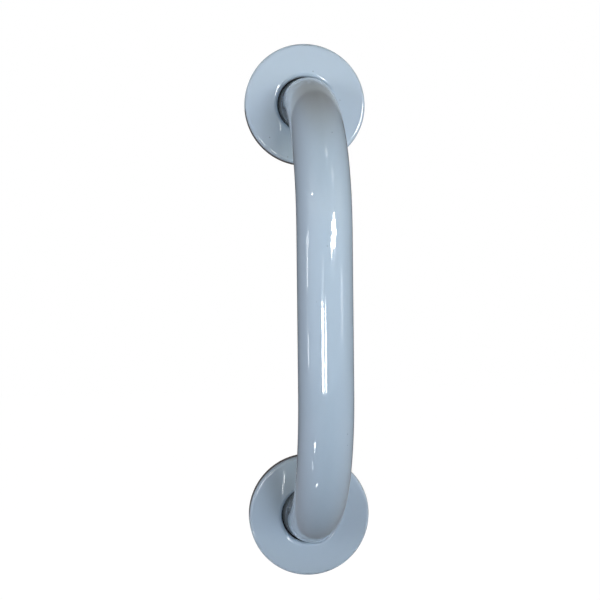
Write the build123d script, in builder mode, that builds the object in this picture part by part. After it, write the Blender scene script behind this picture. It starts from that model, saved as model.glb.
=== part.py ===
"""Wall grab bar: a bent steel tube welded to two round mounting plates, each plate under a pressed cover.

The bar stands upright, as on a wall. +Z runs up along the bar, the wall is the plane Y = 0 and the bar
stands out from it towards -Y. The origin is the centre of the lower mounting plate's back face.
All lengths are in millimetres.
"""
import os

from build123d import *

# Tube
tube_diameter = 35.0
tube_wall = 1.5
fixing_centres = 290.0
bend_radius = 95.0
leg_straight = 2.0

# Mounting plates
plate_thickness = 3.0
plate_edge_break = 0.5
screw_count = 3
screw_hole_diameter = 6.5
vent_hole_diameter = 10.0
weld_leg = 2.0
weld_crown = 0.25

# Pressed covers
cover_diameter = 85.0
cover_height = 10.0
cover_sheet = 1.0
cover_rim_radius = 2.2
cover_lip_radius = 3.0
cover_lip_straight = 0.5

# Clearances
plate_clearance = 0.3
tube_clearance = 2.0
wall_clearance = 0.5

# Values that follow from the ones above
tube_radius = tube_diameter / 2
bar_projection = plate_thickness + leg_straight + bend_radius
cover_radius = cover_diameter / 2
cover_hole_radius = tube_radius + tube_clearance
plate_radius = cover_radius - cover_sheet - plate_clearance
weld_radius = tube_radius + weld_leg
screw_circle_radius = (weld_radius + plate_radius) / 2


def wall_plane(height):
    """Plane on the wall at a plate's centre: x to the right, y up, normal out of the wall."""
    return Plane(origin=(0, 0, height), x_dir=(1, 0, 0), z_dir=(0, -1, 0))


def section_plane(height):
    """Plane through a leg's axis: x is the radius from the axis, y the distance out of the wall."""
    return Plane(origin=(0, 0, height), x_dir=(1, 0, 0), z_dir=(0, 0, -1))


def leg_axis(height):
    """Axis of a leg, square to the wall."""
    return Axis((0, 0, height), (0, -1, 0))


def draw_plate(first_screw_angle):
    """Plate outline with its vent hole and a circle of screw holes, midway between weld and rim."""
    Circle(plate_radius)
    Circle(vent_hole_diameter / 2, mode=Mode.SUBTRACT)
    with PolarLocations(screw_circle_radius, screw_count, start_angle=first_screw_angle):
        Circle(screw_hole_diameter / 2, mode=Mode.SUBTRACT)


def draw_weld_outline():
    """Outline of the weld bead's section, in the corner between plate and tube, its face a little full."""
    toe = (weld_radius, plate_thickness)
    root = (tube_radius, plate_thickness)
    top = (tube_radius, plate_thickness + weld_leg)
    bulge = weld_leg / 2 + weld_crown
    Polyline(toe, root, top)
    ThreePointArc(top, (tube_radius + bulge, plate_thickness + bulge), toe)


def draw_sheet_line(inset):
    """One side of the cover's sheet, from the skirt's edge to the end of the lip; inset 0 is outside."""
    skirt = cover_radius - inset
    face = cover_height - inset
    lip = cover_hole_radius + inset
    rim_radius = cover_rim_radius - inset
    lip_radius = cover_lip_radius - inset
    lip_end = cover_height - cover_lip_radius - cover_lip_straight
    Line((skirt, wall_clearance), (skirt, face - rim_radius))
    rim = JernArc(start=(skirt, face - rim_radius), tangent=(0, 1), radius=rim_radius, arc_size=90)
    flat = Line(rim @ 1, (lip + lip_radius, face))
    roll = JernArc(start=flat @ 1, tangent=(-1, 0), radius=lip_radius, arc_size=90)
    return Line(roll @ 1, (lip, lip_end))


def draw_cover_outline():
    """Outline of the cover's section: skirt, rounded rim, flat face and the lip rolled in at the tube."""
    outer_end = draw_sheet_line(0)
    inner_end = draw_sheet_line(cover_sheet)
    Line(outer_end @ 1, inner_end @ 1)
    Line((cover_radius, wall_clearance), (cover_radius - cover_sheet, wall_clearance))


os.makedirs("parts", exist_ok=True)

# Bent tube, open at both ends, which butt on the plates
with BuildPart() as grab_tube:
    with BuildLine() as centre_line:
        FilletPolyline(
            (0, -plate_thickness, 0),
            (0, -bar_projection, 0),
            (0, -bar_projection, fixing_centres),
            (0, -plate_thickness, fixing_centres),
            radius=bend_radius,
        )
    with BuildSketch(wall_plane(0).offset(plate_thickness)):
        Circle(tube_radius)
        Circle(tube_radius - tube_wall, mode=Mode.SUBTRACT)
    sweep(path=centre_line.line)

grab_tube.part.label = "grab_tube"
export_step(grab_tube.part, "parts/grab_tube.step")

# Each end: name, height of its centre, and the angle of its screw hole that faces away from the other end
ends = (("lower", 0.0, -90.0), ("upper", fixing_centres, 90.0))

for end, height, first_screw_angle in ends:
    # Round plate, screwed flat to the wall
    with BuildPart() as mounting_plate:
        with BuildSketch(wall_plane(height)):
            draw_plate(first_screw_angle)
        extrude(amount=plate_thickness)
        front_edges = mounting_plate.faces().sort_by(Axis.Y)[0].edges()
        chamfer(front_edges.sort_by(SortBy.RADIUS)[-1], length=plate_edge_break)

    mounting_plate.part.label = f"{end}_mounting_plate"
    export_step(mounting_plate.part, f"parts/{end}_mounting_plate.step")

    # Weld bead round the foot of the tube
    with BuildPart() as weld_bead:
        with BuildSketch(section_plane(height)):
            with BuildLine():
                draw_weld_outline()
            make_face()
        revolve(axis=leg_axis(height))

    weld_bead.part.label = f"{end}_weld_bead"
    export_step(weld_bead.part, f"parts/{end}_weld_bead.step")

    # Pressed cover, held by its skirt on the plate's rim and free to slide off along the tube
    with BuildPart() as cover:
        with BuildSketch(section_plane(height)):
            with BuildLine():
                draw_cover_outline()
            make_face()
        revolve(axis=leg_axis(height))

    cover.part.label = f"{end}_cover"
    export_step(cover.part, f"parts/{end}_cover.step")

print(f"bar projection {bar_projection:g}, screw circle {2 * screw_circle_radius:g}, plate {2 * plate_radius:g}")
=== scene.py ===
"""Looks of an upright wall grab bar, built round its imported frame.

The bar is one bent tube welded to two mounting plates, and a pressed cover hides each plate. Lengths are
in metres, and every piece stays where the frame has it: +Z runs up the bar, the wall is the plane y = 0
and the bar stands out from it towards -Y. The tube, the covers and the weld beads are drawn again as
smooth surfaces of the same form. The plates keep their own meshes and get a thinner coat.
"""
from __future__ import annotations

import logging
import math
from dataclasses import dataclass, field
from enum import Enum

import bpy
import numpy as np
from mathutils import Matrix, Vector

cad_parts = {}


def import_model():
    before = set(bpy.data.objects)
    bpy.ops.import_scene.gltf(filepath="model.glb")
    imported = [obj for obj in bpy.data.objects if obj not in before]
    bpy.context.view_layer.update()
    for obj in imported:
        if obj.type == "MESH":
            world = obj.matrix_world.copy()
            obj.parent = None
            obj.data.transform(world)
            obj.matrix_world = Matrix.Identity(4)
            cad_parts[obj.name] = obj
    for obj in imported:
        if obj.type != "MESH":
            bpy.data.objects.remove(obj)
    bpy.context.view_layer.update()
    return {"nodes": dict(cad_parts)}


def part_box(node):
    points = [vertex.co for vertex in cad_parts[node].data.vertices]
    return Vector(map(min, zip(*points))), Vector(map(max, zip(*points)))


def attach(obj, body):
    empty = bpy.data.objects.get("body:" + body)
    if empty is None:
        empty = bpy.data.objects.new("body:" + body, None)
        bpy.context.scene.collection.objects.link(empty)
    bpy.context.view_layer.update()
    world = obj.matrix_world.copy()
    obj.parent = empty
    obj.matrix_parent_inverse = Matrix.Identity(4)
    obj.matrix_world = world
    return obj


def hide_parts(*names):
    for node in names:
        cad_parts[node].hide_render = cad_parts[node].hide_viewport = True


LOG = logging.getLogger("grab_bar")

MM = 0.001
QUARTER_TURN = math.pi / 2
FULL_TURN = 2 * math.pi
TUBE_CLEARANCE = 2.0 * MM

Colour = tuple[float, float, float]
Place = tuple[float, float, float]
Shades = tuple[tuple[float, Colour], ...]
Socket = bpy.types.NodeSocket


class End(Enum):
    """The two ends of the bar, named as their nodes are."""

    LOWER = "lower"
    UPPER = "upper"


class Coat(Enum):
    """The slot names for the two coated surfaces."""

    BAR = "bar_coating"
    COVER = "cover_coating"


def linear(colour: Colour) -> tuple[float, float, float, float]:
    """Turn a display colour into the linear one that shaders take, by the sRGB curve.

    Args:
        colour: Red, green and blue as a screen shows them, from 0 to 1.

    Returns:
        The linear colour with a full alpha.
    """
    red, green, blue = (
        c / 12.92 if c <= 0.04045 else ((c + 0.055) / 1.055) ** 2.4 for c in colour
    )
    return (red, green, blue, 1.0)


def ring_faces(rows: int, columns: int) -> np.ndarray:
    """Number the quads of a grid that closes on itself both ways, like a ring's skin.

    Args:
        rows: How many rings of points the grid has.
        columns: How many points each ring has.

    Returns:
        An array of rows * columns quads, each the numbers of its four points.
    """
    row, column = np.meshgrid(np.arange(rows), np.arange(columns), indexing="ij")
    next_row = (row + 1) % rows
    next_column = (column + 1) % columns
    corners = (
        row * columns + column,
        row * columns + next_column,
        next_row * columns + next_column,
        next_row * columns + column,
    )
    return np.stack(corners, axis=-1).reshape(-1, 4)


def open_faces(rows: int, columns: int) -> np.ndarray:
    """Number the quads of a grid with four open sides, like a sheet.

    Args:
        rows: How many rows of points the grid has.
        columns: How many points each row has.

    Returns:
        An array of quads, each the numbers of its four points.
    """
    row, column = np.meshgrid(np.arange(rows - 1), np.arange(columns - 1), indexing="ij")
    first = row * columns + column
    corners = (first, first + 1, first + columns + 1, first + columns)
    return np.stack(corners, axis=-1).reshape(-1, 4)


def enclosed_volume(points: np.ndarray, faces: np.ndarray) -> float:
    """Measure the volume inside closed quads: each face's area vector dotted with its centre, over three.

    Args:
        points: The surface's points.
        faces: Its quads, as rows of four point numbers.

    Returns:
        The volume, below zero where the faces point inwards.
    """
    a, b, c, d = (points[faces[:, k]] for k in range(4))
    area = np.cross(c - a, d - b) / 2
    centre = (a + b + c + d) / 4
    return float((area * centre).sum() / 3)


def add_mesh(name: str, points: np.ndarray, faces: np.ndarray, smooth: bool = True) -> bpy.types.Object:
    """Put a numpy surface into the scene as an object at the origin.

    Args:
        name: The piece's name.
        points: Its points, one row of x, y, z each.
        faces: Its quads, as rows of four point numbers.
        smooth: Whether the faces are shaded as one smooth skin.

    Returns:
        The new object.
    """
    mesh = bpy.data.meshes.new(name)
    mesh.vertices.add(len(points))
    mesh.vertices.foreach_set("co", points.astype(np.float32).ravel())
    mesh.loops.add(faces.size)
    mesh.loops.foreach_set("vertex_index", faces.astype(np.int32).ravel())
    mesh.polygons.add(len(faces))
    mesh.polygons.foreach_set("loop_start", np.arange(0, faces.size, 4, dtype=np.int32))
    mesh.polygons.foreach_set("use_smooth", np.full(len(faces), smooth))
    mesh.update(calc_edges=True)
    mesh.validate()
    piece = bpy.data.objects.new(name, mesh)
    bpy.context.scene.collection.objects.link(piece)
    return piece


def add_ring_piece(name: str, grid: np.ndarray) -> bpy.types.Object:
    """Make a closed piece from a grid that joins itself both ways, with its faces turned outwards.

    Args:
        name: The piece's name.
        grid: Points in rows and columns, an array of rows by columns by three.

    Returns:
        The new object.
    """
    rows, columns, _ = grid.shape
    points = grid.reshape(-1, 3)
    faces = ring_faces(rows, columns)
    if enclosed_volume(points, faces) < 0:
        faces = faces[:, ::-1]
    return add_mesh(name, points, faces)


def arc(centre: tuple[float, float], radius: float, start: float, turn: float, steps: int) -> np.ndarray:
    """Points evenly along a circular arc in a section.

    Args:
        centre: The arc's centre, as radius from the leg's axis and distance off the wall.
        radius: The arc's own radius.
        start: The angle of its first point, in degrees from the outward direction.
        turn: How far it turns, in degrees.
        steps: How many steps it is cut into.

    Returns:
        An array of steps + 1 points.
    """
    angle = np.radians(start + turn * np.linspace(0, 1, steps + 1))
    return np.stack((centre[0] + radius * np.cos(angle), centre[1] + radius * np.sin(angle)), axis=1)


def straight(start: tuple[float, float], end: tuple[float, float], steps: int) -> np.ndarray:
    """Points evenly between two points of a section, without the two themselves."""
    share = np.linspace(0, 1, steps + 1)[1:-1, None]
    return np.array(start) * (1 - share) + np.array(end) * share


def turn_section(section: np.ndarray, height: float, columns: int) -> np.ndarray:
    """Carry a section once round a leg's axis.

    A point at radius r and distance h off the wall becomes the circle of points
    (r cos a, -h, height + r sin a), for a once round.

    Args:
        section: Points as radius and distance off the wall.
        height: The height of the leg's axis.
        columns: How many points each circle has.

    Returns:
        A grid of points, one row for each point of the section.
    """
    angle = np.linspace(0, FULL_TURN, columns, endpoint=False)
    radius = section[:, 0:1]
    across = radius * np.cos(angle)
    out = np.broadcast_to(-section[:, 1:2], across.shape)
    up = height + radius * np.sin(angle)
    return np.stack((across, out, up), axis=-1)


def feed(tree: bpy.types.NodeTree, source: Socket | float | tuple[float, ...], target: Socket) -> None:
    """Link a socket to a node's input, or set the input to a plain value.

    Args:
        tree: The nodes that it is in.
        source: The socket, number or colour that the input gets.
        target: The input.
    """
    if isinstance(source, Socket):
        tree.links.new(source, target)
    else:
        target.default_value = source


def soft_step(
    tree: bpy.types.NodeTree, value: Socket, start: Socket | float, end: Socket | float
) -> Socket:
    """Turn a value into a share that goes smoothly from 0 to 1 between two bounds.

    Args:
        tree: The nodes that it is in.
        value: The value.
        start: Where the share is 0.
        end: Where the share is 1.

    Returns:
        The share.
    """
    step = tree.nodes.new("ShaderNodeMapRange")
    step.interpolation_type = "SMOOTHSTEP"
    feed(tree, value, step.inputs["Value"])
    feed(tree, start, step.inputs["From Min"])
    feed(tree, end, step.inputs["From Max"])
    return step.outputs["Result"]


@dataclass(frozen=True)
class PaintedShade:
    """Painted shade that darkens a coat between two distances off the wall, where the wall and the gap round
    the tube keep light out.
    """

    strength: float
    shade: Colour
    clean: float
    full: float


NO_PAINTED_SHADE = PaintedShade(strength=0.0, shade=(0.3, 0.3, 0.3), clean=10 * MM, full=0.0)


@dataclass(frozen=True)
class GlossCoat:
    """A gloss powder coat: its colour, its polish, the faults of its film and its painted shade."""

    name: str
    colour: Colour
    roughness: float = 0.045
    clear_share: float = 0.6
    clear_roughness: float = 0.015
    refraction: float = 1.5
    drift: float = 0.03
    specks: float = 0.55
    # Painted shade: darker near the wall, and darker on faces that point up
    wall_shade: PaintedShade = NO_PAINTED_SHADE
    top_shade: float = 0.0
    ripple_depth: float = 0.09 * MM
    peel_depth: float = 0.002 * MM

    def material(self, film: bpy.types.NodeTree) -> bpy.types.Material:
        """Build the coat's material round the shared film group.

        Args:
            film: The node group that gives the film's colour, roughness and heights.

        Returns:
            The finished material.
        """
        material = bpy.data.materials.new(self.name)
        material.use_nodes = True
        tree = material.node_tree
        shader = tree.nodes["Principled BSDF"]
        shader.inputs["Coat Weight"].default_value = self.clear_share
        shader.inputs["Coat Roughness"].default_value = self.clear_roughness
        shader.inputs["IOR"].default_value = self.refraction
        coat = tree.nodes.new("ShaderNodeGroup")
        coat.node_tree = film
        settings = {
            "Colour": linear(self.colour),
            "Roughness": self.roughness,
            "Drift": self.drift,
            "Specks": self.specks,
            # Painted shade on faces that point up and near the wall
            "TopShade": self.top_shade,
            "PaintedShade": self.wall_shade.strength,
            "Grime shade": linear(self.wall_shade.shade),
            "Unshaded from": -self.wall_shade.clean,
            "Shaded from": -self.wall_shade.full,
        }
        for name, value in settings.items():
            coat.inputs[name].default_value = value
        ripple = self.bump(tree, coat.outputs["Ripple"], self.ripple_depth)
        peel = self.bump(tree, coat.outputs["Peel"], self.peel_depth)
        tree.links.new(ripple.outputs["Normal"], peel.inputs["Normal"])
        tree.links.new(coat.outputs["Colour"], shader.inputs["Base Color"])
        tree.links.new(coat.outputs["Roughness"], shader.inputs["Roughness"])
        tree.links.new(peel.outputs["Normal"], shader.inputs["Normal"])
        tree.links.new(peel.outputs["Normal"], shader.inputs["Coat Normal"])
        return material

    @staticmethod
    def bump(tree: bpy.types.NodeTree, height: Socket, depth: float) -> bpy.types.Node:
        """Add a node that tilts the surface by a height.

        Args:
            tree: The material's nodes.
            height: The height, from 0 to 1.
            depth: How deep the relief is where the height runs from 0 to 1.

        Returns:
            The node.
        """
        node = tree.nodes.new("ShaderNodeBump")
        node.inputs["Strength"].default_value = 1.0
        node.inputs["Distance"].default_value = depth
        tree.links.new(height, node.inputs["Height"])
        return node


@dataclass(frozen=True)
class FilmGroup:
    """The film's node group while it is built: its nodes, its inputs and the surface's coordinates.

    The layer strength is how strong each finer layer of a noise is beside the one before it.
    """

    tree: bpy.types.NodeTree
    given: bpy.types.Node
    coordinates: bpy.types.Node
    layer_strength: float

    @property
    def place(self) -> Socket:
        """The object's own coordinates."""
        return self.coordinates.outputs["Object"]

    def setting(self, name: str) -> Socket:
        """One of the group's inputs."""
        return self.given.outputs[name]

    def part(self, vector: Socket, axis: str) -> Socket:
        """Take one part out of a vector.

        Args:
            vector: The vector.
            axis: The part's axis, X, Y or Z.

        Returns:
            The part.
        """
        parts = self.tree.nodes.new("ShaderNodeSeparateXYZ")
        self.tree.links.new(vector, parts.inputs["Vector"])
        return parts.outputs[axis]

    def noise(self, scale: float, layers: float) -> Socket:
        """Add a noise on the object's own coordinates.

        Args:
            scale: How many features the noise has in a metre.
            layers: How many finer layers it has.

        Returns:
            The noise's value, from 0 to 1.
        """
        noise = self.tree.nodes.new("ShaderNodeTexNoise")
        noise.inputs["Scale"].default_value = scale
        noise.inputs["Detail"].default_value = layers
        noise.inputs["Roughness"].default_value = self.layer_strength
        self.tree.links.new(self.place, noise.inputs["Vector"])
        return noise.outputs["Fac"]

    def arithmetic(self, operation: str, first: Socket, second: Socket | float) -> Socket:
        """Add a node of arithmetic on one value and a value or a number.

        Args:
            operation: What the node does.
            first: Its first value.
            second: Its second value, a socket or a plain number.

        Returns:
            The result.
        """
        node = self.tree.nodes.new("ShaderNodeMath")
        node.operation = operation
        feed(self.tree, first, node.inputs[0])
        feed(self.tree, second, node.inputs[1])
        return node.outputs["Value"]

    def toned(self, strength: Socket, colour: Socket, tone: Socket | tuple[float, ...]) -> Socket:
        """Pull a colour towards a tone.

        Args:
            strength: How far the colour goes, from 0 to 1.
            colour: The colour.
            tone: The tone, a socket or a linear colour.

        Returns:
            The toned colour.
        """
        mix = self.tree.nodes.new("ShaderNodeMix")
        mix.data_type = "RGBA"
        feed(self.tree, strength, mix.inputs["Factor"])
        feed(self.tree, colour, mix.inputs["A"])
        feed(self.tree, tone, mix.inputs["B"])
        return mix.outputs["Result"]


@dataclass
class CoatFilm:
    """The film of a powder coat, as a node group that every coated surface shares.

    Its outputs are the colour with a slow drift, small dark specks, painted shade on faces that point up and
    painted shade near the wall, the roughness with faint smears, and two heights: the long ripple that bends
    reflections and the fine orange peel. Scales are features in a metre, and a speck's size is a share of its
    cell.
    """

    layer_strength: float = 0.45
    drift_scale: float = 9.0
    drift_layers: float = 2.0
    ripple_scale: float = 105.0
    ripple_layers: float = 1.0
    peel_scale: float = 620.0
    peel_layers: float = 2.0
    smear_scale: float = 38.0
    smear_layers: float = 3.0
    smear_rise: float = 0.02
    speck_scale: float = 160.0
    speck_size: float = 0.07
    speckless_share: float = 0.80
    speck_shade: Colour = (0.33, 0.34, 0.36)
    # Painted shade on faces that point up: its colour, and the uprightness where it starts and where it is
    # full
    top_shade_colour: Colour = (0.58, 0.60, 0.60)
    top_shade_from: float = 0.40
    top_shade_full: float = 0.82

    def build(self) -> bpy.types.NodeTree:
        """Build the group.

        Returns:
            The node group, ready to be placed in a material.
        """
        tree = bpy.data.node_groups.new("coat_film", "ShaderNodeTree")
        self.sockets(tree)
        given = tree.nodes.new("NodeGroupInput")
        result = tree.nodes.new("NodeGroupOutput")
        group = FilmGroup(tree, given, tree.nodes.new("ShaderNodeTexCoord"), self.layer_strength)
        drifted = self.drifted_colour(group)
        specked = self.specked_colour(group, drifted)
        # Painted shade on faces that point up, then painted shade near the wall
        top_shaded = self.top_shaded_colour(group, specked)
        tree.links.new(self.wall_shaded_colour(group, top_shaded), result.inputs["Colour"])
        tree.links.new(self.smeared_roughness(group), result.inputs["Roughness"])
        tree.links.new(group.noise(self.ripple_scale, self.ripple_layers), result.inputs["Ripple"])
        tree.links.new(group.noise(self.peel_scale, self.peel_layers), result.inputs["Peel"])
        return tree

    @staticmethod
    def sockets(tree: bpy.types.NodeTree) -> None:
        """Give the group its named inputs and outputs.

        Args:
            tree: The group.
        """
        face = tree.interface
        # The inputs include painted shade on faces that point up and painted shade near the wall, with its
        # colour and bounds
        for name in ("Colour", "Grime shade"):
            face.new_socket(name, in_out="INPUT", socket_type="NodeSocketColor")
        for name in ("Roughness", "Drift", "Specks", "TopShade", "PaintedShade", "Unshaded from", "Shaded from"):
            face.new_socket(name, in_out="INPUT", socket_type="NodeSocketFloat")
        face.new_socket("Colour", in_out="OUTPUT", socket_type="NodeSocketColor")
        for name in ("Roughness", "Ripple", "Peel"):
            face.new_socket(name, in_out="OUTPUT", socket_type="NodeSocketFloat")

    def drifted_colour(self, group: FilmGroup) -> Socket:
        """Lighten and darken the colour a little in wide soft patches, where the film is thick or thin.

        Args:
            group: The group.

        Returns:
            The drifting colour.
        """
        patches = group.noise(self.drift_scale, self.drift_layers)
        centred = group.arithmetic("SUBTRACT", patches, 0.5)
        swing = group.arithmetic("MULTIPLY", centred, group.setting("Drift"))
        value = group.arithmetic("ADD", swing, 1.0)
        shade = group.tree.nodes.new("ShaderNodeHueSaturation")
        group.tree.links.new(group.setting("Colour"), shade.inputs["Color"])
        group.tree.links.new(value, shade.inputs["Value"])
        return shade.outputs["Color"]

    def specked_colour(self, group: FilmGroup, colour: Socket) -> Socket:
        """Set small dark specks of dirt in the film, in a few of the cells of a random pattern.

        Args:
            group: The group.
            colour: The colour so far.

        Returns:
            The colour with its specks.
        """
        cells = group.tree.nodes.new("ShaderNodeTexVoronoi")
        cells.inputs["Scale"].default_value = self.speck_scale
        group.tree.links.new(group.place, cells.inputs["Vector"])
        pick = group.tree.nodes.new("ShaderNodeSeparateColor")
        group.tree.links.new(cells.outputs["Color"], pick.inputs["Color"])
        chosen = group.arithmetic("GREATER_THAN", pick.outputs["Red"], self.speckless_share)
        near = group.arithmetic("LESS_THAN", cells.outputs["Distance"], self.speck_size)
        spot = group.arithmetic("MULTIPLY", chosen, near)
        strength = group.arithmetic("MULTIPLY", spot, group.setting("Specks"))
        return group.toned(strength, colour, linear(self.speck_shade))

    def top_shaded_colour(self, group: FilmGroup, colour: Socket) -> Socket:
        """Darken the colour where the surface faces up: painted shade, as less light falls on tops.

        Args:
            group: The group.
            colour: The colour so far.

        Returns:
            The colour under its dust.
        """
        upward = group.part(group.coordinates.outputs["Normal"], "Z")
        facing_up = soft_step(group.tree, upward, self.top_shade_from, self.top_shade_full)
        strength = group.arithmetic("MULTIPLY", facing_up, group.setting("TopShade"))
        return group.toned(strength, colour, linear(self.top_shade_colour))

    def wall_shaded_colour(self, group: FilmGroup, colour: Socket) -> Socket:
        """Darken the colour near the wall, by the distance off it: painted shade of the wall and of the gap
        round the tube.

        Args:
            group: The group.
            colour: The colour so far.

        Returns:
            The colour with its grime.
        """
        depth = group.part(group.place, "Y")
        shade_share = soft_step(group.tree, depth, group.setting("Unshaded from"), group.setting("Shaded from"))
        strength = group.arithmetic("MULTIPLY", shade_share, group.setting("PaintedShade"))
        return group.toned(strength, colour, group.setting("Grime shade"))

    def smeared_roughness(self, group: FilmGroup) -> Socket:
        """Raise the roughness a little in smears, as wiped water leaves on gloss.

        Args:
            group: The group.

        Returns:
            The roughness.
        """
        smears = group.noise(self.smear_scale, self.smear_layers)
        rise = group.arithmetic("MULTIPLY", smears, self.smear_rise)
        return group.arithmetic("ADD", group.setting("Roughness"), rise)


@dataclass
class GrabTube:
    """The bent tube, from the lower plate out, up and back to the upper plate."""

    radius: float
    projection: float
    centres: float
    plate_thickness: float
    wall: float = 1.5 * MM
    leg: float = 2.0 * MM
    cut_ring: float = 0.2 * MM
    bend_rings: int = 64
    grip_rings: int = 40
    columns: int = 112

    @property
    def bend_radius(self) -> float:
        """Radius of each bend, to the tube's centre line."""
        return self.projection - self.plate_thickness - self.leg

    def stations(self) -> np.ndarray:
        """Space the rings along the centre line, close together in the bends and at the cut ends.

        Returns:
            The rings' lengths along the centre line, from the lower plate on.
        """
        bend = self.bend_radius * QUARTER_TURN
        grip = self.centres - 2 * self.bend_radius
        first_bend_end = self.leg + bend
        second_bend = first_bend_end + grip
        length = second_bend + bend + self.leg
        return np.concatenate((
            (0.0, self.cut_ring),
            np.linspace(self.leg, first_bend_end, self.bend_rings, endpoint=False),
            np.linspace(first_bend_end, second_bend, self.grip_rings, endpoint=False),
            np.linspace(second_bend, length - self.leg, self.bend_rings),
            (length - self.cut_ring, length),
        ))

    def centre_line(self, along: np.ndarray) -> tuple[np.ndarray, np.ndarray]:
        """Place the rings of the tube.

        A ring's turn is the length run in each bend over the bend's radius, from nothing to a quarter
        turn in each. Its place is the lower leg, the first bend, the grip, the second bend and the upper
        leg, each as far as the length reaches, added up.

        Args:
            along: Lengths along the centre line.

        Returns:
            The rings' centres as y and z, and how far each has turned.
        """
        radius = self.bend_radius
        bend = radius * QUARTER_TURN
        grip = self.centres - 2 * radius
        first = np.clip((along - self.leg) / radius, 0, QUARTER_TURN)
        second = np.clip((along - self.leg - bend - grip) / radius, 0, QUARTER_TURN)
        in_grip = np.clip(along - self.leg - bend, 0, grip)
        in_end = np.clip(along - self.leg - 2 * bend - grip, 0, self.leg)
        out = self.plate_thickness + np.clip(along, 0, self.leg) + radius * np.sin(first)
        back = radius * (1 - np.cos(second)) + in_end
        up = radius * (1 - np.cos(first)) + in_grip + radius * np.sin(second)
        return np.stack((back - out, up), axis=1), first + second

    def skin(self, along: np.ndarray, radius: float) -> np.ndarray:
        """Carry a circle along the centre line, square to it.

        Args:
            along: Lengths along the centre line.
            radius: The circle's radius.

        Returns:
            A grid of points, one row for each ring.
        """
        centre, turned = self.centre_line(along)
        angle = np.linspace(0, FULL_TURN, self.columns, endpoint=False)
        across = np.broadcast_to(radius * np.cos(angle), (len(along), self.columns))
        lift = radius * np.sin(angle)[None, :]
        out = centre[:, 0:1] - lift * np.sin(turned)[:, None]
        up = centre[:, 1:2] - lift * np.cos(turned)[:, None]
        return np.stack((across, out, up), axis=-1)

    def build(self, coat: bpy.types.Material) -> bpy.types.Object:
        """Build the hollow tube: its outside from end to end, then its inside back again.

        Args:
            coat: The bar's coat.

        Returns:
            The dressed tube.
        """
        along = self.stations()
        outside = self.skin(along, self.radius)
        inside = self.skin(along[::-1], self.radius - self.wall)
        piece = add_ring_piece("bent_tube", np.concatenate((outside, inside)))
        piece.data.materials.append(coat)
        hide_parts("grab_tube")
        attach(piece, "bar")
        return piece


@dataclass
class PressedCover:
    """A pressed sheet cover: skirt, rounded rim, flat face and a lip rolled in at the tube."""

    end: End
    height: float
    radius: float
    top: float
    foot: float
    hole_radius: float
    sheet: float = 1.0 * MM
    rim_radius: float = 2.2 * MM
    lip_radius: float = 3.0 * MM
    lip_straight: float = 0.5 * MM
    edge: float = 0.2 * MM
    dish: float = 0.012 * MM
    dish_swell: float = 0.3
    dish_turn: float = 0.7
    skirt_steps: int = 5
    arc_steps: int = 14
    face_steps: int = 20
    lip_steps: int = 2
    edge_points: int = 9
    columns: int = 224

    def sheet_line(self, inset: float) -> np.ndarray:
        """One side of the sheet, from the skirt's edge over the rim and face to the lip's end.

        Args:
            inset: How far this side lies inside the outer one.

        Returns:
            Points as radius and distance off the wall.
        """
        rim = self.rim_radius - inset
        lip = self.lip_radius - inset
        skirt_radius = self.radius - inset
        face = self.top - inset
        hole = self.hole_radius + inset
        rim_centre = (self.radius - self.rim_radius, self.top - self.rim_radius)
        lip_centre = (self.hole_radius + self.lip_radius, self.top - self.lip_radius)
        lip_end = lip_centre[1] - self.lip_straight
        return np.concatenate((
            straight((skirt_radius, self.foot), (skirt_radius, rim_centre[1]), self.skirt_steps),
            arc(rim_centre, rim, 0, 90, self.arc_steps),
            straight((rim_centre[0], face), (lip_centre[0], face), self.face_steps),
            arc(lip_centre, lip, 90, 90, self.arc_steps),
            straight((hole, lip_centre[1]), (hole, lip_end), self.lip_steps),
        ))

    def section(self) -> np.ndarray:
        """Draw the sheet's whole section, closed at the skirt and at the lip by softly rounded edges.

        Returns:
            Points as radius and distance off the wall, once round the section.
        """
        half = self.sheet / 2
        lip_end = self.top - self.lip_radius - self.lip_straight
        foot_centre = (self.radius - half, self.foot + self.edge)
        lip_centre = (self.hole_radius + half, lip_end + self.edge)
        skirt_edge = self.rounded_edge(foot_centre)
        lip_edge = self.rounded_edge(lip_centre)
        outer = self.sheet_line(0.0)
        inner = self.sheet_line(self.sheet)[::-1]
        return np.concatenate((outer, lip_edge, inner, skirt_edge))

    def rounded_edge(self, centre: tuple[float, float]) -> np.ndarray:
        """Draw the sheet's cut edge: half an ellipse towards the wall, as wide as the sheet.

        Args:
            centre: The ellipse's centre, as radius and distance off the wall.

        Returns:
            Points along the edge, from its inner end to its outer one.
        """
        angle = np.linspace(math.pi, FULL_TURN, self.edge_points)
        across = centre[0] + self.sheet / 2 * np.cos(angle)
        down = centre[1] + self.edge * np.sin(angle)
        return np.stack((across, down), axis=1)

    def hollow(self, grid: np.ndarray) -> np.ndarray:
        """Let the flat face sink a little between rim and lip, as pressed sheet does.

        The sink is the dish times the squared sine of the way from lip to rim, and swells and fades
        twice round the cover.

        Args:
            grid: The cover's points.

        Returns:
            The points with the face sunk.
        """
        across = grid[..., 0]
        up = grid[..., 2] - self.height
        radius = np.hypot(across, up)
        lip_outer = self.hole_radius + self.lip_radius
        rim_inner = self.radius - self.rim_radius
        share = np.clip((radius - lip_outer) / (rim_inner - lip_outer), 0, 1)
        swell = 1 + self.dish_swell * np.cos(2 * np.arctan2(up, across) + self.dish_turn)
        sunk = grid.copy()
        sunk[..., 1] += self.dish * np.sin(math.pi * share) ** 2 * swell
        return sunk

    def build(self, coat: bpy.types.Material) -> bpy.types.Object:
        """Build the cover by carrying its section round the leg's axis.

        Args:
            coat: The covers' coat.

        Returns:
            The dressed cover.
        """
        node = f"{self.end.value}_cover"
        grid = self.hollow(turn_section(self.section(), self.height, self.columns))
        piece = add_ring_piece(f"{self.end.value}_pressed_cover", grid)
        piece.data.materials.append(coat)
        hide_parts(node)
        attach(piece, node)
        return piece


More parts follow.
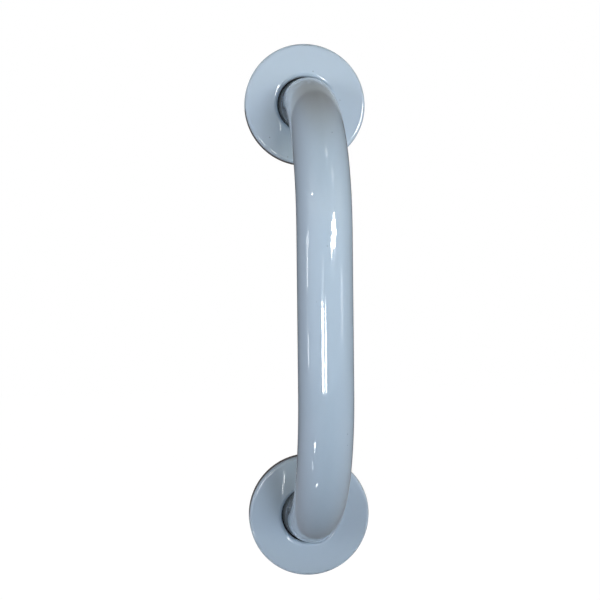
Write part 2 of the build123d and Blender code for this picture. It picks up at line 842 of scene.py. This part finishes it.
@dataclass
class WeldBead:
    """The fillet weld round the tube's foot, with the ripples that a hand-laid bead has."""

    end: End
    height: float
    tube_radius: float
    plate_thickness: float
    leg: float = 2.0 * MM
    crown: float = 0.25 * MM
    ripples: int = 46
    ripple_depth: float = 0.09 * MM
    face_steps: int = 12
    columns: int = 460

    def build(self, coat: bpy.types.Material) -> bpy.types.Object:
        """Build the bead: its full face rises and falls once for each ripple round the tube.

        Args:
            coat: The bar's coat.

        Returns:
            The dressed bead.
        """
        share = np.linspace(0, 1, self.face_steps + 1)
        bulge = self.crown * np.sin(math.pi * share)
        face = np.stack((
            self.tube_radius + self.leg * share + bulge,
            self.plate_thickness + self.leg * (1 - share) + bulge,
        ), axis=1)
        root = np.array([[self.tube_radius, self.plate_thickness]])
        section = np.concatenate((face, root))
        grid = turn_section(section, self.height, self.columns)
        angle = np.linspace(0, FULL_TURN, self.columns, endpoint=False)
        wave = np.abs(np.sin(self.ripples * angle / 2))
        depth = self.ripple_depth * np.sin(math.pi * share)[:, None] * (wave[None, :] - 1)
        outward = np.stack((np.cos(angle), np.full_like(angle, -1.0), np.sin(angle)), axis=-1)
        grid[: len(share)] += depth[..., None] * outward[None, :, :]
        piece = add_ring_piece(f"{self.end.value}_rippled_bead", grid)
        piece.data.materials.append(coat)
        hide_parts(f"{self.end.value}_weld_bead")
        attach(piece, "bar")
        return piece


@dataclass
class MountingPlate:
    """A round plate behind a cover. Its own mesh is right, so it only gets a coat."""

    node: bpy.types.Object

    def dress(self, coat: bpy.types.Material) -> bpy.types.Object:
        """Give the plate its coat.

        Args:
            coat: The plates' coat.

        Returns:
            The plate.
        """
        if not self.node.material_slots:
            self.node.data.materials.append(coat)
        for slot in self.node.material_slots:
            slot.material = coat
        return self.node


def hang(
    light: bpy.types.Light, place: Place, aim: Place, in_gloss: bool, in_light: bool
) -> bpy.types.Object:
    """Hang a lamp, turned to what it lights. The camera itself never sees it.

    Args:
        light: The lamp's light.
        place: Where it hangs.
        aim: What it points at.
        in_gloss: Whether the gloss mirrors it.
        in_light: Whether it lights the coat.

    Returns:
        The lamp's object.
    """
    lamp = bpy.data.objects.new(light.name, light)
    lamp.location = place
    direction = Vector(aim) - Vector(place)
    lamp.rotation_euler = direction.to_track_quat("-Z", "Y").to_euler()
    lamp.visible_camera = False
    lamp.visible_glossy = in_gloss
    lamp.visible_diffuse = in_light
    bpy.context.scene.collection.objects.link(lamp)
    return lamp


@dataclass(frozen=True)
class SoftLamp:
    """A flat lamp of one even brightness."""

    name: str
    place: Place
    aim: Place
    width: float
    height: float
    brightness: float
    colour: Colour = (1.0, 1.0, 1.0)
    in_gloss: bool = True
    in_light: bool = True
    is_round: bool = False

    def build(self) -> bpy.types.Object:
        """Hang the lamp. Its power is its brightness times its area times pi.

        Returns:
            The lamp's object.
        """
        light = bpy.data.lights.new(self.name, "AREA")
        light.shape = "ELLIPSE" if self.is_round else "RECTANGLE"
        light.size = self.width
        light.size_y = self.height
        area = self.width * self.height * (math.pi / 4 if self.is_round else 1)
        light.energy = self.brightness * area * math.pi
        light.color = self.colour
        return hang(light, self.place, self.aim, self.in_gloss, self.in_light)


@dataclass(frozen=True)
class Fill(SoftLamp):
    """A soft light on the coat that the gloss doesn't show."""

    in_gloss: bool = False


@dataclass(frozen=True)
class Glint(SoftLamp):
    """A bright thing in the room that only the gloss shows, such as a pane or a gap of a door."""

    in_light: bool = False


@dataclass(frozen=True)
class SoftSpot:
    """A round lamp that lights only a cone, with a soft rim, and that the gloss doesn't show."""

    name: str
    place: Place
    aim: Place
    power: float
    cone: float
    rim: float
    radius: float
    colour: Colour = (1.0, 1.0, 1.0)

    def build(self) -> bpy.types.Object:
        """Hang the lamp.

        Returns:
            The lamp's object.
        """
        light = bpy.data.lights.new(self.name, "SPOT")
        light.energy = self.power
        light.color = self.colour
        light.spot_size = math.radians(self.cone)
        light.spot_blend = self.rim
        light.shadow_soft_size = self.radius
        return hang(light, self.place, self.aim, in_gloss=False, in_light=True)


@dataclass(frozen=True)
class Viewpoint:
    """Where the photograph was taken from, a little left of the bar and level with its middle."""

    eye: Place = (-0.0926, -0.7633, 0.1611)
    turn_right: float = 6.607
    turn_up: float = -0.673
    roll: float = 0.601
    focal_length: float = 64.64
    film_width: float = 36.0
    nearest: float = 0.01

    def build(self) -> bpy.types.Object:
        """Set up the camera.

        Returns:
            The camera's object.
        """
        data = bpy.data.cameras.new("photo_camera")
        data.sensor_width = self.film_width
        data.lens = self.focal_length
        data.clip_start = self.nearest
        camera = bpy.data.objects.new("photo_camera", data)
        heading = Matrix.Rotation(-math.radians(self.turn_right), 4, "Z")
        pitch = Matrix.Rotation(math.radians(self.turn_up), 4, "X")
        roll = Matrix.Rotation(math.radians(self.roll), 4, "Y")
        level = Matrix.Rotation(QUARTER_TURN, 4, "X")
        camera.matrix_world = Matrix.Translation(self.eye) @ heading @ pitch @ roll @ level
        bpy.context.scene.collection.objects.link(camera)
        bpy.context.scene.camera = camera
        return camera


# The room in front of the wall and behind it: the light that falls on the coat, and what the gloss mirrors.
# Each pair is how far up a direction points, from -1 to 1, and the colour there.
FRONT_LIGHT: Shades = (
    (-1.0, (0.62, 0.58, 0.55)),
    (0.33, (0.62, 0.58, 0.55)),
    (0.57, (0.49, 0.44, 0.38)),
    (1.0, (0.49, 0.44, 0.38)),
)
BACK_LIGHT: Shades = (
    (-1.0, (0.38, 0.35, 0.32)),
    (1.0, (0.38, 0.35, 0.32)),
)
FRONT_GLOSS: Shades = (
    (-1.0, (0.20, 0.21, 0.24)),
    (-0.35, (0.52, 0.57, 0.64)),
    (0.0, (0.85, 0.91, 0.97)),
    (0.30, (1.0, 1.0, 1.0)),
    (0.65, (0.50, 0.48, 0.45)),
    (1.0, (0.30, 0.27, 0.24)),
)
BACK_GLOSS: Shades = (
    (-1.0, (0.20, 0.20, 0.22)),
    (1.0, (0.26, 0.23, 0.20)),
)


@dataclass
class Studio:
    """The pale room round the bar: what the camera sees, what the gloss shows and what lights the coat.

    The floor's glow is a little over 1, so that with its matt share mixed in it comes out just white.
    """

    floor_drop: float = 0.30
    floor_size: float = 8.0
    floor_points: int = 9
    floor_colour: Colour = (0.60, 0.61, 0.62)
    shadow_share: float = 0.08
    floor_glow: float = 1.085
    front_edge: float = -0.45
    back_edge: float = 0.05
    lamps: list[SoftLamp | SoftSpot] = field(default_factory=list)

    def build_floor(self) -> bpy.types.Object:
        """Lay a pale floor that looks white and keeps a faint shadow.

        Returns:
            The floor.
        """
        side = np.linspace(-self.floor_size / 2, self.floor_size / 2, self.floor_points)
        across, deep = np.meshgrid(side, side, indexing="xy")
        points = np.stack((across, deep, np.full_like(across, -self.floor_drop)), axis=-1).reshape(-1, 3)
        floor = add_mesh("pale_floor", points, open_faces(self.floor_points, self.floor_points), smooth=False)
        material = bpy.data.materials.new("pale_floor")
        material.use_nodes = True
        tree = material.node_tree
        nodes = tree.nodes
        nodes.clear()
        matt = nodes.new("ShaderNodeBsdfDiffuse")
        matt.inputs["Color"].default_value = linear(self.floor_colour)
        glow = nodes.new("ShaderNodeEmission")
        glow.inputs["Strength"].default_value = self.floor_glow
        seen = self.mixed(tree, self.shadow_share, glow.outputs["Emission"], matt.outputs["BSDF"])
        path = nodes.new("ShaderNodeLightPath")
        chosen = self.mixed(tree, path.outputs["Is Camera Ray"], matt.outputs["BSDF"], seen)
        output = nodes.new("ShaderNodeOutputMaterial")
        tree.links.new(chosen, output.inputs["Surface"])
        floor.data.materials.append(material)
        return floor

    def build_world(self) -> None:
        """Make the room: white to the camera, and shaded from floor to ceiling to the coat."""
        world = bpy.data.worlds.new("room")
        bpy.context.scene.world = world
        world.use_nodes = True
        tree = world.node_tree
        nodes = tree.nodes
        nodes.clear()
        parts = nodes.new("ShaderNodeSeparateXYZ")
        tree.links.new(nodes.new("ShaderNodeTexCoord").outputs["Generated"], parts.inputs["Vector"])
        behind = soft_step(tree, parts.outputs["Y"], self.front_edge, self.back_edge)
        front_light, back_light, front_gloss, back_gloss = (
            self.shaded_background(tree, parts.outputs["Z"], shades)
            for shades in (FRONT_LIGHT, BACK_LIGHT, FRONT_GLOSS, BACK_GLOSS)
        )
        light = self.mixed(tree, behind, front_light, back_light)
        gloss = self.mixed(tree, behind, front_gloss, back_gloss)
        path = nodes.new("ShaderNodeLightPath")
        lit = self.mixed(tree, path.outputs["Is Glossy Ray"], light, gloss)
        white = nodes.new("ShaderNodeBackground")
        white.inputs["Color"].default_value = (1.0, 1.0, 1.0, 1.0)
        seen = self.mixed(tree, path.outputs["Is Camera Ray"], lit, white.outputs["Background"])
        output = nodes.new("ShaderNodeOutputWorld")
        tree.links.new(seen, output.inputs["Surface"])

    @staticmethod
    def mixed(tree: bpy.types.NodeTree, share: Socket | float, first: Socket, second: Socket) -> Socket:
        """Mix two shaders.

        Args:
            tree: The nodes that they are in.
            share: How much of the second shader is taken, from 0 to 1.
            first: The first shader.
            second: The second shader.

        Returns:
            The mixed shader.
        """
        mix = tree.nodes.new("ShaderNodeMixShader")
        feed(tree, share, mix.inputs["Fac"])
        tree.links.new(first, mix.inputs[1])
        tree.links.new(second, mix.inputs[2])
        return mix.outputs["Shader"]

    @staticmethod
    def shaded_background(tree: bpy.types.NodeTree, height: Socket, shades: Shades) -> Socket:
        """Add a background whose colour follows how far up a direction points.

        Args:
            tree: The world's nodes.
            height: The direction's upward part, from -1 to 1.
            shades: Pairs of an upward part and the display colour there, from low to high.

        Returns:
            The background's shader.
        """
        share = tree.nodes.new("ShaderNodeMapRange")
        share.inputs["From Min"].default_value = -1.0
        share.inputs["From Max"].default_value = 1.0
        tree.links.new(height, share.inputs["Value"])
        ramp = tree.nodes.new("ShaderNodeValToRGB")
        stops = ramp.color_ramp.elements
        while len(stops) < len(shades):
            stops.new(0.5)
        for stop, (level, colour) in zip(stops, shades):
            stop.position = (level + 1) / 2
            stop.color = linear(colour)
        tree.links.new(share.outputs["Result"], ramp.inputs["Fac"])
        background = tree.nodes.new("ShaderNodeBackground")
        tree.links.new(ramp.outputs["Color"], background.inputs["Color"])
        return background.outputs["Background"]

    def build(self) -> None:
        """Lay the floor, make the room and hang the lamps."""
        self.build_floor()
        self.build_world()
        for lamp in self.lamps:
            lamp.build()


# Finishes of the bar, the covers, and the plates and beads that the covers hide
# Painted shade near the wall: on the covers' skirts, on the plates' fronts and on the beads' feet, down in
# the gap round the tube
COVER_PAINTED_SHADE = PaintedShade(strength=0.9, shade=(0.34, 0.31, 0.28), clean=9.6 * MM, full=2.5 * MM)
PLATE_PAINTED_SHADE = PaintedShade(strength=1.0, shade=(0.12, 0.12, 0.13), clean=1.5 * MM, full=2.6 * MM)
BEAD_PAINTED_SHADE = PaintedShade(strength=1.0, shade=(0.12, 0.12, 0.13), clean=4.5 * MM, full=3.9 * MM)
# The bar's coat has painted shade on faces that point up
BAR_COAT = GlossCoat("bar_gloss_coat", (0.655, 0.738, 0.800), ripple_depth=0.05 * MM, top_shade=0.65)
COVER_COAT = GlossCoat("cover_gloss_coat", (0.68, 0.76, 0.82), ripple_depth=0.012 * MM, wall_shade=COVER_PAINTED_SHADE)
PLATE_COAT = GlossCoat(
    "plate_thin_coat",
    (0.60, 0.66, 0.71),
    roughness=0.30,
    clear_roughness=0.20,
    drift=0.06,
    wall_shade=PLATE_PAINTED_SHADE,
)
BEAD_COAT = GlossCoat(
    "bead_thin_coat",
    (0.62, 0.69, 0.74),
    roughness=0.30,
    clear_roughness=0.20,
    drift=0.06,
    wall_shade=BEAD_PAINTED_SHADE,
)

# Spots from in front: name, place, aim, power, cone in degrees, softness of its rim, radius and colour
KEY_LIGHTS = [
    SoftSpot("key_soft", (0.30, -1.25, 0.10), (0.0, -0.06, 0.180), 52.5, 25.0, 0.6, 0.30, (0.84, 0.87, 1.0)),
    SoftSpot("key_right", (0.65, -1.10, 0.22), (0.0, -0.06, 0.235), 18.0, 19.5, 0.45, 0.20, (1.0, 0.94, 0.8)),
    SoftSpot("key_left", (-0.90, -0.95, 0.25), (0.0, -0.03, 0.29), 12.0, 15.0, 0.6, 0.20, (1.0, 0.86, 0.73)),
]

# Everything below: name, place, aim, width, height, brightness, and the colour where it isn't white
FILLS = [
    Fill("fill_left", (-1.0, -1.05, 0.20), (0.0, -0.06, 0.15), 0.7, 0.6, 3.3, (0.88, 0.97, 1.0)),
    Fill("side_left", (-1.4, -0.12, 0.20), (0.0, -0.06, 0.15), 0.7, 0.6, 4.1, (1.0, 0.86, 0.97)),
    Fill("side_right", (1.4, -0.12, 0.20), (0.0, -0.06, 0.15), 0.7, 0.6, 4.55, (1.0, 0.86, 0.79)),
    Fill("low_front", (-0.15, -1.30, -0.16), (0.0, -0.06, 0.15), 0.9, 0.22, 0.7, (1.0, 0.86, 1.0)),
    Fill("low_right", (0.95, -1.0, -0.16), (0.0, -0.06, 0.15), 0.7, 0.22, 4.1, (0.74, 0.86, 1.0)),
    Fill("back_fill", (0.0, 1.5, 0.25), (0.0, 0.0, 0.15), 0.9, 0.7, 5.0, (0.95, 0.97, 1.0)),
]

# A pale patch of wall behind the upper cover
WALL_PATCH = [
    Glint(
        "white_disc",
        (0.002, -0.0002, 0.328),
        (0.002, -1.0, 0.328),
        0.120,
        0.122,
        0.45,
        colour=(0.75, 0.9, 1.0),
        is_round=True,
    ),
]

# The window in the middle of the grip, a blind above it and a ledge below it
WINDOW = [
    Glint("window_left_pane", (-0.395, -1.249, 0.053), (-0.004, -0.117, 0.123), 0.160, 0.158, 30.0),
    Glint("window_right_pane", (-0.150, -1.306, 0.053), (-0.002, -0.117, 0.123), 0.076, 0.152, 32.0),
    Glint("window_blind", (-0.340, -1.269, 0.172), (-0.004, -0.117, 0.165), 0.100, 0.073, 2.5),
    Glint("window_ledge", (-0.418, -1.211, -0.150), (-0.004, -0.117, 0.088), 0.080, 0.160, 1.5),
]

# The high window in the upper part of the grip
HIGH_WINDOW = [
    Glint("high_pane_a", (0.621, -1.114, 0.460), (0.003, -0.117, 0.204), 0.15, 0.112, 45.0),
    Glint("high_pane_b", (0.603, -1.147, 0.339), (0.003, -0.117, 0.199), 0.34, 0.128, 50.0),
    Glint("high_pane_c", (0.657, -1.122, 0.262), (0.004, -0.117, 0.193), 0.34, 0.028, 50.0),
    Glint("high_pane_d", (0.540, -1.189, 0.240), (0.003, -0.117, 0.186), 0.36, 0.018, 50.0),
    Glint("high_pane_e", (0.436, -1.236, 0.232), (0.002, -0.117, 0.179), 0.14, 0.024, 45.0),
]

# Light beside the tube: streaks on its side within the covers' holes, and short arcs on the covers' lips
HOLE_LIGHT = [
    Glint("side_streak_top", (-0.0159, -0.030, 0.0238), (-0.0172, -0.010, 0.0272), 0.0004, 0.0080, 15.0),
    Glint("side_streak_low", (-0.0170, -0.030, 0.0155), (-0.0188, -0.010, 0.0190), 0.0004, 0.0075, 15.0),
    Glint("side_streak_upper", (-0.0170, -0.020, 0.2769), (-0.0180, -0.010, 0.2785), 0.0005, 0.0092, 11.0),
    Glint("lip_arc_left", (-0.0158, -0.030, 0.3026), (-0.0199, -0.010, 0.3001), 0.0028, 0.0078, 18.0),
    Glint("lip_arc_right", (0.0106, -0.030, 0.3055), (0.0124, -0.010, 0.3081), 0.0040, 0.0026, 22.0),
    Glint("lip_arc_low", (-0.0108, -0.030, -0.0188), (-0.0151, -0.010, -0.0168), 0.0036, 0.0036, 30.0),
]

# Gaps of light along both sides of the grip, a small lamp, and gaps under the ceiling on the upper bend
GAPS = [
    Glint("left_gap_top", (-1.185, -0.357, 0.252), (-0.012, -0.113, 0.193), 0.08, 0.040, 7.0),
    Glint("left_gap", (-1.206, -0.233, 0.205), (-0.013, -0.112, 0.177), 0.08, 0.088, 8.0),
    Glint("left_gap_faint", (-1.211, -0.167, 0.122), (-0.013, -0.112, 0.147), 0.08, 0.112, 1.0),
    Glint("left_gap_low", (-1.202, -0.258, 0.053), (-0.012, -0.112, 0.123), 0.09, 0.053, 6.5),
    Glint("right_gap", (1.084, -0.646, 0.131), (0.008, -0.116, 0.150), 0.040, 0.119, 12.0),
    Glint("small_lamp", (-0.952, -0.678, 0.698), (-0.009, -0.112, 0.218), 0.09, 0.026, 24.0),
    Glint("ceiling_gap_a", (0.608, -0.839, 0.968), (0.004, -0.112, 0.229), 0.06, 0.200, 10.0),
    Glint("ceiling_gap_b", (0.267, -0.706, 1.248), (0.001, -0.106, 0.244), 0.06, 0.150, 9.0),
]

# The wash basin's bright edges, in the lower bend
BASIN = [
    Glint("basin_glint_a", (-0.410, -0.345, -0.248), (-0.009, -0.111, 0.064), 0.055, 0.042, 20.0),
    Glint("basin_glint_b", (-0.388, -0.314, -0.267), (-0.009, -0.109, 0.060), 0.036, 0.013, 14.0),
    Glint("basin_glint_c", (-0.354, -0.191, -0.273), (-0.010, -0.105, 0.051), 0.028, 0.050, 4.5),
    Glint("basin_glint_d", (-0.157, -0.175, -0.280), (-0.006, -0.101, 0.038), 0.030, 0.014, 18.0),
]

LAMPS = [*KEY_LIGHTS, *FILLS, *WALL_PATCH, *WINDOW, *HIGH_WINDOW, *HOLE_LIGHT, *GAPS, *BASIN]


def outer_size(node: str) -> tuple[Vector, Vector, Vector]:
    """Measure a node of the frame.

    Args:
        node: The node's name.

    Returns:
        Its lowest corner, its highest corner and its size each way.
    """
    low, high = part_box(node)
    return low, high, high - low


def build_bar(frame: dict) -> None:
    """Build and dress every piece of the bar, from the sizes that the frame has.

    Args:
        frame: The loaded frame.
    """
    film = CoatFilm().build()
    bar_coat = BAR_COAT.material(film)
    cover_coat = COVER_COAT.material(film)
    plate_coat = PLATE_COAT.material(film)
    bead_coat = BEAD_COAT.material(film)

    tube_low, _, tube_size = outer_size("grab_tube")
    _, _, plate_size = outer_size("lower_mounting_plate")
    tube_radius = tube_size.x / 2
    plate_thickness = plate_size.y
    centres = tube_size.z - tube_size.x
    tube = GrabTube(
        radius=tube_radius,
        projection=-tube_low.y - tube_radius,
        centres=centres,
        plate_thickness=plate_thickness,
    )
    LOG.info("%s: bend radius %.1f mm", tube.build(bar_coat).name, tube.bend_radius / MM)

    for end in End:
        low, high, size = outer_size(f"{end.value}_cover")
        height = (low.z + high.z) / 2
        cover = PressedCover(
            end=end,
            height=height,
            radius=size.x / 2,
            top=-low.y,
            foot=-high.y,
            hole_radius=tube_radius + TUBE_CLEARANCE,
        )
        LOG.info("%s: %.1f mm across", cover.build(cover_coat).name, size.x / MM)
        bead = WeldBead(end=end, height=height, tube_radius=tube_radius, plate_thickness=plate_thickness)
        LOG.info("%s: %d ripples", bead.build(bead_coat).name, bead.ripples)
        plate = MountingPlate(frame["nodes"][f"{end.value}_mounting_plate"])
        LOG.info("%s: coated", plate.dress(plate_coat).name)


def main() -> None:
    """Load the frame, build the bar, its room and its camera."""
    logging.basicConfig(level=logging.INFO, format="%(name)s %(message)s")
    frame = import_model()
    build_bar(frame)
    Studio(lamps=LAMPS).build()
    Viewpoint().build()
    bpy.context.scene.view_settings.view_transform = "Standard"


if __name__ == "__main__":
    main()
